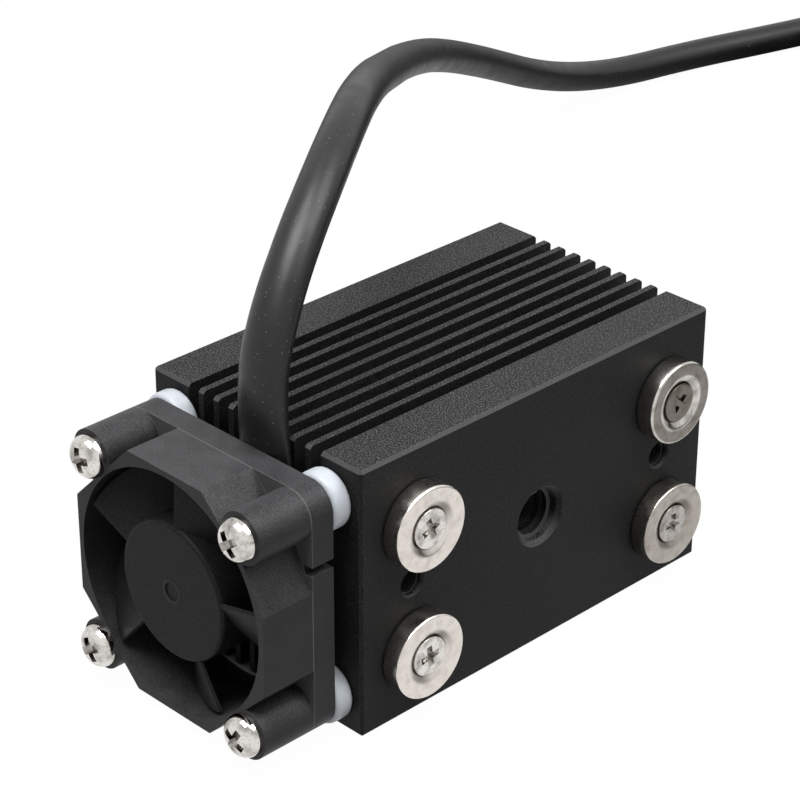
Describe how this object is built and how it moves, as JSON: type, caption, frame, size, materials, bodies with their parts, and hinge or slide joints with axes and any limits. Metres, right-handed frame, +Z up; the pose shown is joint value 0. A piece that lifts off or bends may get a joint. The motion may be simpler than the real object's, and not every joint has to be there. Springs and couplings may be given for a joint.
{
  "type": "laser engraving module",
  "caption": "Finned black heatsink block that holds a laser diode barrel with a focus ring, an axial cooling fan, ring magnets for quick mounting and one round cable.",
  "frame": {"origin": "middle of the magnet face, at the mouth of the tripod thread and midway between the side screw holes", "axes": "+X out of the magnet face, +Y along the beam, +Z up from the side blocks the module rests on"},
  "size_m": [0.1099, 0.2661, 0.0597],
  "materials": {
    "black_anodised_aluminium": "bead-blasted black anodised, satin",
    "nickel_plate": "nickel plated, satin",
    "bright_steel": "nickel plated steel, bright",
    "black_pbt": "moulded, lightly textured",
    "motor_steel": "drawn sheet and ground bar",
    "ferrite": "pressed ferrite, dull",
    "sintered_bronze": "sintered bronze",
    "natural_nylon": "moulded, off-white",
    "silicon_steel": "stamped laminations",
    "copper_winding": "enamelled copper wire",
    "fan_board_laminate": "green solder mask",
    "black_epoxy": "moulded epoxy",
    "nylon": "milky translucent nylon",
    "brass": "turned brass",
    "gilt_can": "gold plated diode package",
    "window_glass": "flat glass",
    "lens_glass": "polished and coated glass",
    "spring_steel": "drawn spring wire",
    "driver_board_laminate": "dark green solder mask",
    "capacitor_can": "drawn aluminium can",
    "blue_thermoplastic": "moulded",
    "red_wire": "soft PVC, red",
    "black_wire": "soft PVC, black",
    "yellow_wire": "soft PVC, yellow",
    "black_pvc": "extruded PVC, satin",
    "black_nylon": "moulded",
    "gilt_contact": "gold flashed contact"
  },
  "bodies": {
    "root": {"heatsink_body": "black_anodised_aluminium", "ring_magnet_near_upper": "nickel_plate", "ring_magnet_near_lower": "nickel_plate", "ring_magnet_far_upper": "nickel_plate", "ring_magnet_far_lower": "nickel_plate", "magnet_screws": "bright_steel", "fan_housing": "black_pbt", "fan_bearing": "sintered_bronze", "stator_core": "silicon_steel", "stator_coils": "copper_winding", "fan_circuit_board": "fan_board_laminate", "hall_sensor": "black_epoxy", "spacer_magnet_side_upper": "nylon", "spacer_magnet_side_lower": "nylon", "spacer_plain_side_upper": "nylon", "spacer_plain_side_lower": "nylon", "fan_screws": "bright_steel", "laser_barrel": "brass", "laser_diode": "gilt_can", "diode_window": "window_glass", "diode_retaining_ring": "brass", "lens_spring": "spring_steel", "barrel_set_screw": "motor_steel", "driver_board": "driver_board_laminate", "driver_inductor": "black_epoxy", "driver_chip": "black_epoxy", "driver_capacitor": "capacitor_can", "trim_pot": "blue_thermoplastic", "fan_socket": "natural_nylon", "fan_plug": "natural_nylon", "fan_wire_supply": "red_wire", "fan_wire_ground": "black_wire", "supply_wire": "red_wire", "ground_wire": "black_wire", "signal_wire": "yellow_wire", "diode_wire_positive": "red_wire", "diode_wire_negative": "black_wire", "power_cable": "black_pvc", "cable_coil": "black_pvc", "cable_tail": "black_pvc", "cable_tie": "black_nylon", "cable_plug": "black_nylon", "plug_contacts": "gilt_contact"},
    "fan_rotor": {"fan_impeller": "black_pbt", "rotor_yoke": "motor_steel", "rotor_magnet": "ferrite", "fan_shaft": "motor_steel", "shaft_clip": "natural_nylon"},
    "focus": {"focus_ring": "black_anodised_aluminium", "collimating_lens": "lens_glass"}
  },
  "joints": [
    {"name": "fan_spin", "type": "hinge", "parent": "root", "child": "fan_rotor", "pos_m": [-0.0165, -0.035, 0], "axis": [0, 1, 0], "continuous": true},
    {"name": "focus_turn", "type": "hinge", "parent": "root", "child": "focus", "pos_m": [-0.0165, 0.03, 0], "axis": [0, 1, 0], "range_deg": [-540, 540]}
  ]
}
